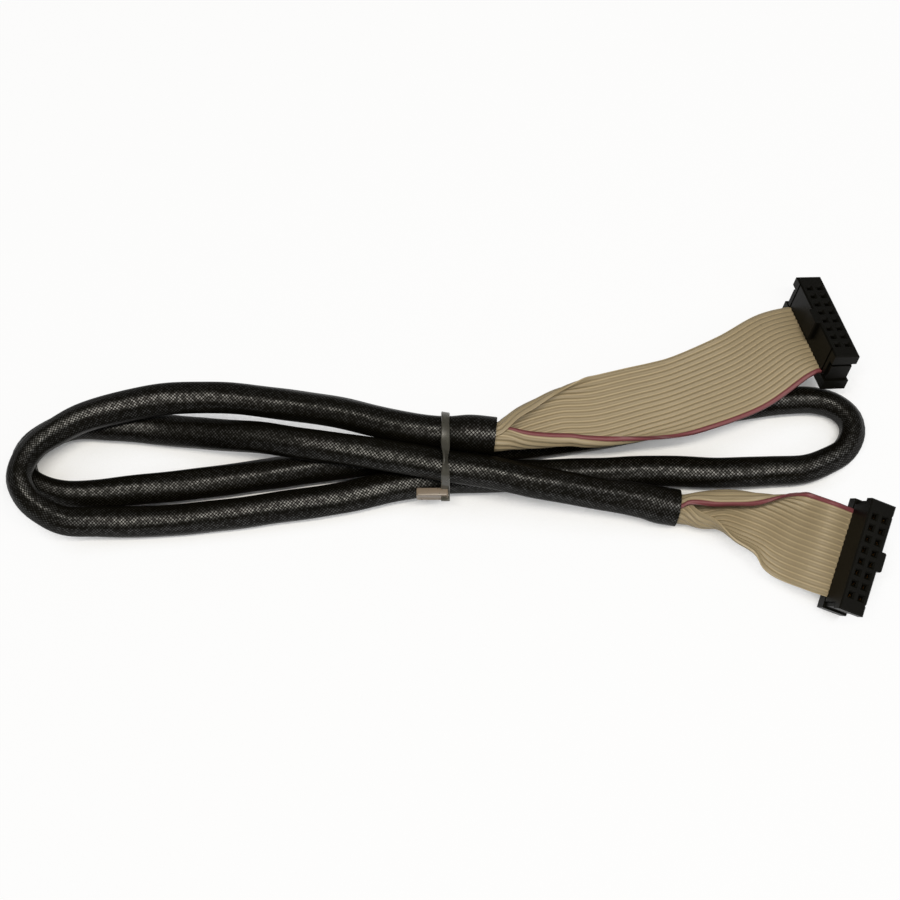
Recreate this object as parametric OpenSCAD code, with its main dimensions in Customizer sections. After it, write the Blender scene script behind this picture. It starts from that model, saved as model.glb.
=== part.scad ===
// Flat ribbon cable with a crimp socket on each end, its middle rolled up in a woven sleeve.
// The sleeved length is folded in half twice and tied with a small nylon tie.
// Millimetres. The hank lies on the plane Z = 0 with X along its length.

/* [Ribbon] */
// Number of conductors, two to a column of contacts
ways = 16; // [6:2:18]
// Distance from one conductor to the next
pitch = 1.27; // [1.2:0.01:1.4]
// Thickness of the ribbon over a conductor
core_d = 0.9; // [0.7:0.05:1.1]
// Thickness of the web between two conductors
web_t = 0.36; // [0.2:0.02:0.5]

/* [Sleeve] */
// Width of the sleeve where it lies straight
sleeve_w = 7.1; // [6.6:0.1:7.4]
// Height of the sleeve
sleeve_h = 7.1; // [6.6:0.1:7.6]
// Width of the sleeve in a sharp bend
bend_w = 5.6; // [5:0.1:6.5]
// Diameter of the sleeve at its two mouths
mouth_d = 8.3; // [8.2:0.1:8.8]
// Thickness of the woven wall
wall_t = 0.35; // [0.2:0.05:0.5]
// Gap between the sleeve and the rolled ribbon
roll_gap = 0.2; // [0.1:0.05:0.4]
// Gap between two strands that lie on each other
strand_gap = 0.4; // [0.1:0.05:0.6]

/* [Sockets] */
// Width of a socket
socket_w = 6.1; // [5.8:0.1:6.6]
// Height of a housing over the middle of the ribbon
housing_h = 7.6; // [7:0.1:8.5]
// Depth of a cover under the middle of the ribbon
cover_h = 2.9; // [2.5:0.1:3.5]
// Length of plastic beyond the last column of contacts at each end
end_l = 3.7; // [3.4:0.1:4.2]
// Thickness of the floor under the contact cells
floor_t = 1.2; // [0.8:0.1:1.6]
// Thickness of the roof over the contact cells
roof_t = 1; // [0.7:0.1:1.4]
// Width of a pin hole in the mating face
hole_w = 0.9; // [0.8:0.05:1.1]
// Width of the lead-in around a pin hole
funnel_w = 1.7; // [1.3:0.1:1.9]
// Width of the polarising key
key_w = 4.4; // [3.5:0.1:5.5]
// How far the polarising key stands out
key_out = 1; // [0.6:0.1:1.4]
// Length of the polarising key from the mating face
key_l = 5.2; // [3:0.1:6]
// Height of the lip at each end of a housing, down from the mating face
lip_h = 2.6; // [2:0.1:2.8]
// How far the end of a housing is set back below its lip
set_back = 1.4; // [1.1:0.1:1.6]
// Chamfer on the edges of a mating face
edge_cut = 0.3; // [0.1:0.05:0.5]
// Width of the groove down the key side near each end
groove_w = 0.5; // [0.3:0.1:0.8]
// Depth of this groove
groove_d = 0.3; // [0.2:0.05:0.5]
// Width of a latch arm of the cover
arm_w = 5.1; // [4:0.1:5.4]
// Thickness of a latch arm
arm_t = 0.85; // [0.6:0.05:1]
// Height of a latch arm over the middle of the ribbon
arm_h = 3.9; // [3.2:0.1:4]
// How far the latch hook reaches into the housing
hook_in = 0.4; // [0.2:0.05:0.6]
// Gap between a housing and what fits in it
fit_gap = 0.08; // [0.05:0.01:0.15]

/* [Contacts] */
// Thickness of the contact metal
metal_t = 0.25; // [0.15:0.05:0.3]
// Width of a contact spring
spring_w = 0.9; // [0.6:0.05:1.1]
// Gap between two springs at their tips, under a 0.64 mm pin
spring_gap = 0.5; // [0.3:0.05:0.6]
// Slot of the fork that takes the conductor
fork_slot = 0.34; // [0.3:0.02:0.4]
// Width of one tine of the fork
tine_w = 0.3; // [0.2:0.02:0.34]
// How far the tines pass through the ribbon
tine_out = 1.5; // [1:0.1:1.8]

/* [Tie] */
// Width of the strap
strap_w = 2.1; // [1.8:0.1:3.6]
// Thickness of the strap
strap_t = 0.5; // [0.4:0.1:1.3]
// Gap between the strap and the strands
strap_gap = 0.3; // [0.2:0.05:0.6]
// Length of the head along the strands
head_l = 7; // [3.6:0.2:8]
// Height of the head around the strands
head_h = 3; // [2.4:0.2:5]
// Depth of the head out from the strands
head_t = 2; // [1.6:0.1:4]
// Distance from the strap to the middle of the head
head_off = 2.9; // [0:0.1:3]
// Height of the middle of the head
head_z = 7.8; // [4:0.2:12]
// Length of the cut-off tail
tail_l = 0.6; // [0.2:0.2:4]

/* [Hidden] */
contacts = ways / 2;

column = 2 * pitch;
row_x = pitch;
ribbon_w = ways * pitch;
socket_l = (contacts - 1) * column + 2 * end_l;
eps = 0.01;

// Shared by all sweeps
sides = 12;
rib_steps = 3;

// Route of the sleeve from mouth A to mouth B, chosen by hand: x, y, layer and squeeze.
// Layer 0 lies on the ground and layer 1 on a strand below. Squeeze is 1 in a sharp bend,
// 0 along a straight and -1 at an open mouth.
route = [
    [10, 0.5, 1, -1], [4.5, 1, 1, -1], [-1, 1.5, 1, 0], [-11, 3, 1, 0],
    [-24.5, 6.5, 1, 0], [-37.5, 8.5, 1, 0], [-51, 10, 1, 0], [-64.5, 9.5, 1, 0],
    [-74, 7.5, 1, 0.2], [-82, 5, 1, 0.5], [-87, 2, 1, 0.8], [-91.5, -1.5, 1, 1],
    [-94, -5.5, 1, 1], [-94.5, -9.5, 1, 1], [-92.5, -13.5, 0.85, 1], [-89, -16, 0.65, 0.8],
    [-84.5, -17.5, 0.4, 0.5], [-77, -17, 0.15, 0.2], [-66.5, -16.5, 0, 0], [-51, -15, 0, 0],
    [-37.5, -13, 0, 0], [-24.5, -11, 0, 0], [-11, -8, 0, 0], [-1, -6.5, 0, 0],
    [9, -6, 0, 0], [20, -5.5, 0, 0], [33.5, -5, 0, 0], [46.5, -4.5, 0, 0],
    [60, -5, 0, 0], [71, -4.5, 0, 0.2], [79, -4, 0, 0.5], [84, -2, 0, 0.8],
    [88, 0.5, 0, 1], [90, 4.5, 0, 1], [89.5, 8, 0, 1], [86.5, 11, 0, 1],
    [82, 12.5, 0, 0.8], [75.5, 12.5, 0, 0.5], [66.5, 11.5, 0, 0.2], [54, 9, 0, 0],
    [40.5, 6, 0, 0], [27, 3.5, 0, 0], [11, 1.5, 0, 0], [-1, 1.5, 0, 0],
    [-13.5, -1, 0, 0], [-26.5, -3, 0, 0], [-42, -5.5, 0, 0], [-55.5, -7.5, 0, 0],
    [-69, -9, 0, 0.2], [-78.5, -10, 0, 0.5], [-85.5, -10, 0, 0.8], [-90.5, -8.5, 0, 1],
    [-94, -6, 0, 1], [-95, -2, 0, 1], [-93.5, 1.5, 0, 1], [-89.5, 4.5, 0, 0.8],
    [-84, 6.5, 0, 0.5], [-76, 6.5, 0, 0.2], [-65, 5.5, 0, 0], [-53.5, 3.5, 0.3, 0],
    [-42, 1.5, 0.7, 0], [-31, -1, 0.95, 0], [-22, -2.5, 1, 0], [-11, -4.5, 1, 0],
    [-1, -6.5, 1, 0], [9, -8, 1, 0], [19.5, -10, 0.95, 0], [33, -11.5, 0.6, 0],
    [43, -12.5, 0.25, -0.5], [46, -13, 0.1, -1], [50.2, -13.5, 0, -1]
];
// Where the four strands pass under the tie, as places in the route
tied = [2, 23, 43, 64];
// How far to each side of the tie its strap keeps the strands off the ground
tie_reach = 25;
// Roll of the ribbon inside the sleeve, and how much more one edge curls than the other
mouth_roll = 215;
mouth_side = 0.12;

// Ribbon from socket A to mouth A, chosen by hand: x, y, z, tilt, roll, one-sidedness, tightness
end_a = [
    [75, 23.4, 9.6, 11, 0, 0, 1], [65, 16.6, 10, 2, 0, 0, 1],
    [52.5, 11.1, 10, 7, 7, -0.1, 2], [47.5, 9.4, 10, 5, 28, -0.4, 2.4],
    [42.5, 8.1, 10, 2, 55, -0.65, 2.8], [37.5, 6.8, 10, -2, 85, -0.75, 2.8],
    [33, 5.8, 10, -4, 115, -0.75, 2.8], [29, 5.4, 10.1, -4, 155, -0.45, 2.7],
    [25.5, 5.2, 10.2, -4, 185, -0.2, 2.6], [19.5, 3.5, 10.8, -4, 195, -0.05, 1.9],
    [15, 2, 11.4, -2, 185, -0.05, 1.3], [12, 1, 11.9, 0, 195, -0.1, 1]
];
// Ribbon from mouth B to socket B, in the same form
end_b = [
    [52.5, -13.7, 4.3, 2, 195, 0.1, 1], [55.5, -14.2, 4.6, 12, 188, 0, 1.2],
    [60, -14.7, 6, 22, 185, -0.2, 1.3], [65, -16.7, 7.2, 20, 165, -0.4, 1.6],
    [68, -17.8, 7.5, 18, 140, -0.35, 1.7], [70.5, -18.8, 7.7, 16, 108, -0.25, 1.8],
    [73, -20.2, 7.8, 17, 60, -0.2, 2.2], [75.5, -21.6, 8, 18, 21, -0.1, 2.6],
    [80.5, -24.3, 9.7, 20, 0, 0, 1]
];
// How far the ribbon stays flat beyond a socket
lead_out = 0.5;

// Place of each socket: x and y of its middle, then turn, bank and lean
seat_a = [83.3, 26.8, 196, 17, -19];
seat_b = [88.5, -26.7, -18.5, 13, 24.8];

// Vectors
function unit(v) = v / norm(v);
function sum_to(steps, i) = i < 0 ? [0, 0] : sum_to(steps, i - 1) + steps[i];

// Direction of a line of points at point i
function heading(p, i) = unit(p[min(i + 1, len(p) - 1)] - p[max(i - 1, 0)]);
function leftward(t) = unit(cross([0, 0, 1], t));

// Size of the sleeve at a squeeze of q
function blend(a, b, k) = a + (b - a) * k;
function strand_w(q) = q < 0 ? blend(sleeve_w, mouth_d, -q) : blend(sleeve_w, bend_w, q);
function strand_h(q) = q < 0 ? blend(sleeve_h, mouth_d, -q) : sleeve_h;

// The strands rise a little to pass over the strap of the tie
tie_x = route[tied[0]][0];
function lift(x) = (strap_t + strap_gap) * max(0, 1 - abs(x - tie_x) / tie_reach);
strand = [for (r = route)
    [r[0], r[1], strand_h(r[3]) / 2 + r[2] * (sleeve_h + strand_gap) + lift(r[0])]];

// Oval ring of the strand at place i, inset from the sleeve's outside
function strand_ring(i, inset) =
    let (t = heading(strand, i), l = leftward(t), u = cross(t, l))
    let (a = strand_w(route[i][3]) / 2 - inset, b = strand_h(route[i][3]) / 2 - inset)
    [for (k = [0:sides - 1]) strand[i] + l * a * cos(360 * k / sides) + u * b * sin(360 * k / sides)];

// Faces between rings of n points; each ring turns left about the way it travels
function skin(n, first, last, base) =
    [for (i = [first:last - 1]) for (k = [0:n - 1])
        [base + i * n + k, base + (i + 1) * n + k,
         base + (i + 1) * n + (k + 1) % n, base + i * n + (k + 1) % n]];
function flip(face) = [for (i = [len(face) - 1:-1:0]) face[i]];

module swept(rings) {
    n = len(rings[0]);
    last = len(rings) - 1;
    start = [for (k = [0:n - 1]) k];
    end = [for (k = [n - 1:-1:0]) last * n + k];
    polyhedron([for (r = rings) each r], concat(skin(n, 0, last, 0), [start, end]));
}

module swept_tube(outer, inner) {
    n = len(outer[0]);
    last = len(outer) - 1;
    base = len(outer) * n;
    walls = concat(skin(n, 0, last, 0), [for (f = skin(n, 0, last, base)) flip(f)]);
    start = [for (k = [0:n - 1]) [k, (k + 1) % n, base + (k + 1) % n, base + k]];
    end = [for (f = start) [for (i = [3:-1:0]) f[i] + last * n]];
    polyhedron([for (r = concat(outer, inner)) each r], concat(start, end, walls));
}

// Ribbon section: a row of ribs along a line that can roll up
rib_n = ways * rib_steps;
function along(j) = -ribbon_w / 2 + j * ribbon_w / rib_n;
function rise(j) = (j % rib_steps == 0) ? web_t / 2 : core_d / 2;
function curl(s, roll, side, tight) =
    let (u = 2 * s / ribbon_w)
    sign(u) * pow(abs(u), tight) * roll * (1 - side * u);
function spread(list) = [for (j = 0, p = [0, 0]; j <= len(list);
    p = p + (j < len(list) ? list[j] : [0, 0]), j = j + 1) p];
function mean(list) = [for (c = [0, 1]) sum_to([for (p = list) [p[c], 0]], len(list) - 1)[0] / len(list)];

// The rolled section as [across, up] pairs, ribs outside and inside
function section(roll, side, tight) =
    let (step = ribbon_w / rib_n)
    let (turns = [for (j = [0:rib_n - 1]) curl((along(j) + along(j + 1)) / 2, roll, side, tight)])
    let (line = spread([for (a = turns) step * [cos(a), sin(a)]]))
    let (mid = mean(line))
    let (ang = [for (j = [0:rib_n]) curl(along(j), roll, side, tight)])
    concat(
        [for (j = [0:rib_n]) line[j] - mid - rise(j) * [-sin(ang[j]), cos(ang[j])]],
        [for (j = [rib_n:-1:0]) line[j] - mid + rise(j) * [-sin(ang[j]), cos(ang[j])]]
    );

// Ring of the ribbon at a point, with its red edge to the left of travel
function ribbon_ring(p, across, up, shape) = [for (q = shape) p + across * q[0] + up * q[1]];
function free_ring(line, i, row) =
    let (t = heading(line, i), l = leftward(t), u = cross(t, l))
    let (a = l * cos(row[3]) + u * sin(row[3]), n = u * cos(row[3]) - l * sin(row[3]))
    ribbon_ring(line[i], a, n, section(row[4], row[5], row[6]));

// A socket has its own axes: X towards the key, Y towards conductor 1, Z out of the mating face
function turn_z(a) = [[cos(a), -sin(a), 0], [sin(a), cos(a), 0], [0, 0, 1]];
function turn_x(a) = [[1, 0, 0], [0, cos(a), -sin(a)], [0, sin(a), cos(a)]];
function turn_y(a) = [[cos(a), 0, sin(a)], [0, 1, 0], [-sin(a), 0, cos(a)]];
function turned(seat) = turn_z(seat[2]) * turn_x(seat[3]) * turn_y(seat[4]);
corners = [for (x = [-1, 1]) for (y = [-1, 1]) for (z = [-cover_h, housing_h])
    [x * socket_w / 2, y * socket_l / 2, z]];
function seat_point(seat) =
    let (m = turned(seat), mid = m * [0, 0, (housing_h - cover_h) / 2])
    [seat[0] - mid[0], seat[1] - mid[1], -min([for (c = corners) (m * c)[2]])];
function from_socket(seat, p) = seat_point(seat) + turned(seat) * p;

module place(seat) {
    m = turned(seat);
    p = seat_point(seat);
    multmatrix([
        [m[0][0], m[0][1], m[0][2], p[0]],
        [m[1][0], m[1][1], m[1][2], p[1]],
        [m[2][0], m[2][1], m[2][2], p[2]]
    ]) children();
}

// Flat rings of the ribbon inside a socket, at the given places along its own X
function clamped_ring(seat, x) =
    let (m = turned(seat))
    ribbon_ring(from_socket(seat, [x, 0, 0]), m * [0, 1, 0], m * [0, 0, 1], section(0, 0, 1));

// Ring of the ribbon where it is rolled up at place i of the strand
function rolled_ring(i, side) =
    let (t = heading(strand, i), l = leftward(t), u = cross(t, l))
    ribbon_ring(strand[i], l, u, section(mouth_roll, side, 1));

last_ring = len(route) - 1;
line_a = concat(
    [from_socket(seat_a, [socket_w / 2, 0, 0])],
    [for (r = end_a) [r[0], r[1], r[2]]],
    [strand[0]]
);
line_b = concat(
    [strand[last_ring]],
    [for (r = end_b) [r[0], r[1], r[2]]],
    [from_socket(seat_b, [-socket_w / 2, 0, 0])]
);
rings_a = concat(
    [for (x = [-socket_w / 2, socket_w / 2 + lead_out]) clamped_ring(seat_a, x)],
    [for (i = [1:len(end_a)]) free_ring(line_a, i, end_a[i - 1])],
    [for (i = [0, 1]) rolled_ring(i, -mouth_side)]
);
rings_b = concat(
    [for (i = [last_ring - 1, last_ring]) rolled_ring(i, mouth_side)],
    [for (i = [1:len(end_b)]) free_ring(line_b, i, end_b[i - 1])],
    [for (x = [-socket_w / 2 - lead_out, socket_w / 2]) clamped_ring(seat_b, x)]
);

// Flat end of the ribbon, with the slots that the tines of a socket cut in it
module ribbon_end(rings, seat) {
    color("tan") difference() {
        swept(rings);
        place(seat) tine_slots();
    }
}

// Stretch of the ribbon that is rolled up in the sleeve, between the two ends
module ribbon_roll() {
    color("tan") swept([for (i = [1:last_ring - 1]) strand_ring(i, wall_t + roll_gap)]);
}

module sleeve() {
    color([0.07, 0.07, 0.06]) swept_tube(
        [for (i = [0:last_ring]) strand_ring(i, 0)],
        [for (i = [0:last_ring]) strand_ring(i, wall_t)]
    );
}

// Lowest and highest Y and Z of the four strands under the tie
tie_y = [for (i = tied) strand[i][1]];
tie_z = [for (i = tied) strand[i][2]];
tie_lo = [min(tie_y) - sleeve_w / 2, min(tie_z) - sleeve_h / 2];
tie_hi = [max(tie_y) + sleeve_w / 2, max(tie_z) + sleeve_h / 2];

// Rounded rectangle around the strands, grown by g
module bundle_outline(g) {
    r = sleeve_w / 2 + g;
    lo = tie_lo - [g, g];
    hi = tie_hi + [g, g];
    translate([lo[0] + r, lo[1]]) square([hi[0] - lo[0] - 2 * r, hi[1] - lo[1]]);
    translate([lo[0], lo[1] + r]) square([hi[0] - lo[0], hi[1] - lo[1] - 2 * r]);
    for (y = [lo[0] + r, hi[0] - r]) for (z = [lo[1] + r, hi[1] - r])
        translate([y, z]) circle(r, $fn = 64);
}

module cable_tie() {
    head_y = tie_lo[0] - strap_gap - strap_t / 2 - head_t;
    color([0.9, 0.88, 0.86]) {
        translate([tie_x - strap_w / 2, 0, 0]) rotate([90, 0, 90]) linear_extrude(strap_w) difference() {
            bundle_outline(strap_gap + strap_t);
            bundle_outline(strap_gap);
        }
        translate([tie_x - head_off - head_l / 2, head_y, head_z - head_h / 2])
            cube([head_l, head_t, head_h]);
        translate([tie_x - strap_w / 2, head_y - tail_l, head_z - strap_t / 2])
            cube([strap_w, tail_l + eps, strap_t]);
    }
}

// Places of the conductors and of the contact columns along a socket
rib_y = [for (i = [0:ways - 1]) (i - (ways - 1) / 2) * pitch];
column_y = [for (i = [0:contacts - 1]) (i - (contacts - 1) / 2) * column];
function column_of(i) = column_y[floor(i / 2)];
// Odd and even conductors go to the two rows
function row_of(i) = i % 2 == 0 ? row_x : -row_x;

// Half of the gap that a socket leaves for the webs of the ribbon
web_gap = web_t / 2 + fit_gap;
// A contact's cell, across the socket and along it
cell_x = 1.9;
cell_y = 1.5;
cell_z = floor_t + web_t;
fork_w = fork_slot + 2 * tine_w;
// Length of the latch hook along its arm
hook_l = 1;
// Distance of a groove on the key side from the end of the housing
groove_in = 2.5;
// Half the outer width of a contact, its bottom and its top
half = cell_x / 2 - fit_gap;
base_z = cell_z + fit_gap;
tip_z = housing_h - roof_t - fit_gap;
// Height of a spring's foot, distance of its nip from the tip, and how far foot and tip lean in
foot_h = 1.5;
nip_h = 0.9;
lean = 0.1;
// Length of the point of a tine
point_l = 0.3;

// Grooves that take the ribs of the ribbon
module scallops() {
    edge = ribbon_w / 2 + fit_gap;
    ribs = [for (j = [0:rib_n]) [along(j), rise(j) + fit_gap]];
    profile = concat([[-edge, web_gap]], ribs, [[edge, web_gap]]);
    under = [for (i = [len(profile) - 1:-1:0]) [profile[i][0], -profile[i][1]]];
    rotate([90, 0, 90]) linear_extrude(2 * socket_w, center = true) polygon(concat(profile, under));
}

// Square funnel with its wide end up at z = 0
module funnel() {
    deep = (funnel_w - hole_w) / 2;
    profile = [[-funnel_w / 2, eps], [-hole_w / 2, -deep], [hole_w / 2, -deep], [funnel_w / 2, eps]];
    intersection() {
        rotate([90, 0, 0]) linear_extrude(funnel_w, center = true) polygon(profile);
        rotate([90, 0, 90]) linear_extrude(funnel_w, center = true) polygon(profile);
    }
}

// Cut for the fork of conductor i, h high from z
module fork_cut(i, z, h) {
    translate([row_of(i) - metal_t / 2 - fit_gap, rib_y[i] - fork_w / 2 - fit_gap, z])
        cube([metal_t + 2 * fit_gap, fork_w + 2 * fit_gap, h]);
}

module cells() {
    for (i = [0:ways - 1]) {
        translate([row_of(i), column_of(i), 0]) {
            translate([0, 0, housing_h]) funnel();
            translate([-hole_w / 2, -hole_w / 2, floor_t]) cube([hole_w, hole_w, housing_h]);
            translate([-cell_x / 2, -cell_y / 2, cell_z])
                cube([cell_x, cell_y, housing_h - roof_t - cell_z]);
        }
        fork_cut(i, -eps, cell_z + 3 * fit_gap);
    }
}

// Closes an outline with its own mirror image
function both_sides(list) =
    concat(list, [for (i = [len(list) - 1:-1:0]) [-list[i][0], list[i][1]]]);

// Repeats a form at both ends of a socket
module both_ends() {
    children();
    mirror([0, 1, 0]) children();
}

// Notch in the set-back end of a housing for the hook of the cover
module hook_notch() {
    w = arm_w + 2 * fit_gap;
    both_ends() translate([-w / 2, socket_l / 2 - set_back - hook_in, arm_h - hook_l - fit_gap])
        cube([w, set_back, hook_l + 2 * fit_gap]);
}

// Groove down the key side of a housing, near its end
module groove() {
    translate([socket_w / 2 - groove_d, socket_l / 2 - groove_in - groove_w / 2, -eps])
        cube([groove_d + eps, groove_w, housing_h + 2 * eps]);
}

// Block of a housing: its outline seen along X, cut by its outline seen along Y
module housing_block() {
    out = socket_l / 2;
    side = socket_w / 2;
    lip_z = housing_h - lip_h;
    intersection() {
        rotate([90, 0, 90]) linear_extrude(2 * socket_w, center = true) polygon(both_sides([
            [out - set_back, web_gap], [out - set_back, lip_z], [out, lip_z],
            [out, housing_h - edge_cut], [out - edge_cut, housing_h]
        ]));
        rotate([90, 0, 0]) linear_extrude(socket_l, center = true) polygon(both_sides([
            [side, web_gap], [side, housing_h - edge_cut], [side - edge_cut, housing_h]
        ]));
    }
}

// Polarising key, seen along Z
module key() {
    out = socket_w / 2 + key_out;
    translate([0, 0, housing_h - key_l]) linear_extrude(key_l) polygon([
        [socket_w / 2 - edge_cut - eps, -key_w / 2], [out - edge_cut, -key_w / 2],
        [out, edge_cut - key_w / 2], [out, key_w / 2 - edge_cut],
        [out - edge_cut, key_w / 2], [socket_w / 2 - edge_cut - eps, key_w / 2]
    ]);
}

module housing() {
    color([0.06, 0.06, 0.05]) difference() {
        union() {
            housing_block();
            key();
        }
        scallops();
        cells();
        hook_notch();
        both_ends() groove();
    }
}

// Latch arm of the cover, seen along X, with its hook turned inwards
module arm() {
    inner = socket_l / 2 - set_back + fit_gap;
    rotate([90, 0, 90]) linear_extrude(arm_w, center = true) polygon([
        [inner + arm_t, -web_gap - eps], [inner + arm_t, arm_h],
        [inner, arm_h], [inner - hook_in, arm_h - hook_l],
        [inner, arm_h - hook_l], [inner, -web_gap - eps]
    ]);
}

module cover() {
    color([0.06, 0.06, 0.05]) difference() {
        union() {
            translate([-socket_w / 2, -socket_l / 2, -cover_h])
                cube([socket_w, socket_l, cover_h - web_gap]);
            both_ends() arm();
        }
        scallops();
        for (i = [0:ways - 1]) fork_cut(i, -tine_out - fit_gap, tine_out + fit_gap);
    }
}

// Half outline of a pair of springs from foot to tip, drawn in by the thickness d
function spring_line(d) = [
    [half - d, base_z + d], [half - lean - d, base_z + foot_h],
    [spring_gap / 2 + metal_t - d, tip_z - nip_h], [half - lean - d, tip_z + d]
];

// Contact i: a pair of springs over a fork
module contact(i) {
    translate([row_of(i), column_of(i), 0]) rotate([90, 0, 0]) linear_extrude(spring_w, center = true)
        difference() {
            polygon(both_sides(spring_line(0)));
            polygon(both_sides(spring_line(metal_t)));
        }
    translate([row_of(i), rib_y[i], 0]) rotate([90, 0, 90]) linear_extrude(metal_t, center = true) fork();
}

// Fork around a conductor, seen along the conductor
module fork() {
    f = fork_w / 2;
    s = fork_slot / 2;
    polygon(both_sides([
        [s, core_d / 2], [s, point_l - tine_out], [s + tine_w / 2, -tine_out],
        [f, point_l - tine_out], [f, base_z + eps]
    ]));
}

// Where the tines pass through the ribbon
module tine_slots() {
    for (i = [0:ways - 1]) for (e = [-1, 1])
        translate([row_of(i), rib_y[i] + e * (fork_slot + tine_w) / 2, 0])
            cube([metal_t + fit_gap, tine_w + fit_gap, 2 * core_d], center = true);
}

module contact_at(seat, i) {
    color([0.8, 0.68, 0.35]) place(seat) contact(i - 1);
}

ribbon_end(rings_a, seat_a);  // ribbon_a
ribbon_roll();
ribbon_end(rings_b, seat_b);  // ribbon_b
sleeve();
cable_tie();
place(seat_a) housing();  // housing_a
place(seat_a) cover();  // cover_a
place(seat_b) housing();  // housing_b
place(seat_b) cover();  // cover_b
for (i = [1:ways]) contact_at(seat_a, i);
for (i = [1:ways]) contact_at(seat_b, i);
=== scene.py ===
"""Flat ribbon cable in a woven sleeve, folded into a tied hank, with a socket on each end.

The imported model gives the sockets, their contacts and the rolled ribbon inside the sleeve. This script
makes the woven sleeve, the two flat ends of the ribbon and the tie, and gives every piece its finish.
"""

import math

import bmesh
import bpy
from bpy.props import FloatProperty, FloatVectorProperty, IntProperty, PointerProperty
from mathutils import Matrix, Vector


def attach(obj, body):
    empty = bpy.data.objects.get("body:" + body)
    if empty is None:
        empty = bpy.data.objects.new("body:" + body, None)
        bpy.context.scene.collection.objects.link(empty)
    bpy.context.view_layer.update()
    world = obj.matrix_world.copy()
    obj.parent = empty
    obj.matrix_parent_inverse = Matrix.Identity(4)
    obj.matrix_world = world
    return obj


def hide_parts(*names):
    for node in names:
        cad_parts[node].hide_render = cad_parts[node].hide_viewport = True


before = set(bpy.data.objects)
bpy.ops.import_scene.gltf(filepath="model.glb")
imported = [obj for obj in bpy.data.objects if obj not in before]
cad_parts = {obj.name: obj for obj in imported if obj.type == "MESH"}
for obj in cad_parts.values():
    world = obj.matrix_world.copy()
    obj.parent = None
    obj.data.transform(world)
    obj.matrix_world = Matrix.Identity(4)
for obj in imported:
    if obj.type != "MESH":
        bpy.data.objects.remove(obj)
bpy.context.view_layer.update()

bl_info = {
    "name": "Tied Ribbon Cable",
    "version": (1, 0, 0),
    "blender": (4, 5, 0),
    "location": "3D View > Sidebar > Cable",
    "description": "Makes the soft pieces, tie and finishes of a ribbon cable in a woven sleeve",
    "category": "Add Mesh",
}

# Route of the sleeve from mouth A to mouth B: x, y, layer and squeeze.
# Layer 0 lies on the ground and layer 1 on a strand below. Squeeze is 1 in a sharp bend,
# 0 along a straight and -1 at an open mouth.
ROUTE = (
    (0.01, 0.0005, 1, -1), (0.0045, 0.001, 1, -1), (-0.001, 0.0015, 1, 0),
    (-0.011, 0.003, 1, 0), (-0.0245, 0.0065, 1, 0), (-0.0375, 0.0085, 1, 0),
    (-0.051, 0.01, 1, 0), (-0.0645, 0.0095, 1, 0), (-0.074, 0.0075, 1, 0.2),
    (-0.082, 0.005, 1, 0.5), (-0.087, 0.002, 1, 0.8), (-0.0915, -0.0015, 1, 1),
    (-0.094, -0.0055, 1, 1), (-0.0945, -0.0095, 1, 1), (-0.0925, -0.0135, 0.85, 1),
    (-0.089, -0.016, 0.65, 0.8), (-0.0845, -0.0175, 0.4, 0.5), (-0.077, -0.017, 0.15, 0.2),
    (-0.0665, -0.0165, 0, 0), (-0.051, -0.015, 0, 0), (-0.0375, -0.013, 0, 0),
    (-0.0245, -0.011, 0, 0), (-0.011, -0.008, 0, 0), (-0.001, -0.0065, 0, 0),
    (0.009, -0.006, 0, 0), (0.02, -0.0055, 0, 0), (0.0335, -0.005, 0, 0),
    (0.0465, -0.0045, 0, 0), (0.06, -0.005, 0, 0), (0.071, -0.0045, 0, 0.2),
    (0.079, -0.004, 0, 0.5), (0.084, -0.002, 0, 0.8), (0.088, 0.0005, 0, 1),
    (0.09, 0.0045, 0, 1), (0.0895, 0.008, 0, 1), (0.0865, 0.011, 0, 1),
    (0.082, 0.0125, 0, 0.8), (0.0755, 0.0125, 0, 0.5), (0.0665, 0.0115, 0, 0.2),
    (0.054, 0.009, 0, 0), (0.0405, 0.006, 0, 0), (0.027, 0.0035, 0, 0),
    (0.011, 0.0015, 0, 0), (-0.001, 0.0015, 0, 0), (-0.0135, -0.001, 0, 0),
    (-0.0265, -0.003, 0, 0), (-0.042, -0.0055, 0, 0), (-0.0555, -0.0075, 0, 0),
    (-0.069, -0.009, 0, 0.2), (-0.0785, -0.01, 0, 0.5), (-0.0855, -0.01, 0, 0.8),
    (-0.0905, -0.0085, 0, 1), (-0.094, -0.006, 0, 1), (-0.095, -0.002, 0, 1),
    (-0.0935, 0.0015, 0, 1), (-0.0895, 0.0045, 0, 0.8), (-0.084, 0.0065, 0, 0.5),
    (-0.076, 0.0065, 0, 0.2), (-0.065, 0.0055, 0, 0), (-0.0535, 0.0035, 0.3, 0),
    (-0.042, 0.0015, 0.7, 0), (-0.031, -0.001, 0.95, 0), (-0.022, -0.0025, 1, 0),
    (-0.011, -0.0045, 1, 0), (-0.001, -0.0065, 1, 0), (0.009, -0.008, 1, 0),
    (0.0195, -0.01, 0.95, 0), (0.033, -0.0115, 0.6, 0), (0.043, -0.0125, 0.25, -0.5),
    (0.046, -0.013, 0.1, -1), (0.0502, -0.0135, 0, -1),
)
# Place in the route of the point under the tie, and how far to each side the tie lifts the strands
TIED = 2
TIE_REACH = 0.025
STRAND_GAP = 0.0004
STRAP_LIFT = 0.0008

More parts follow.
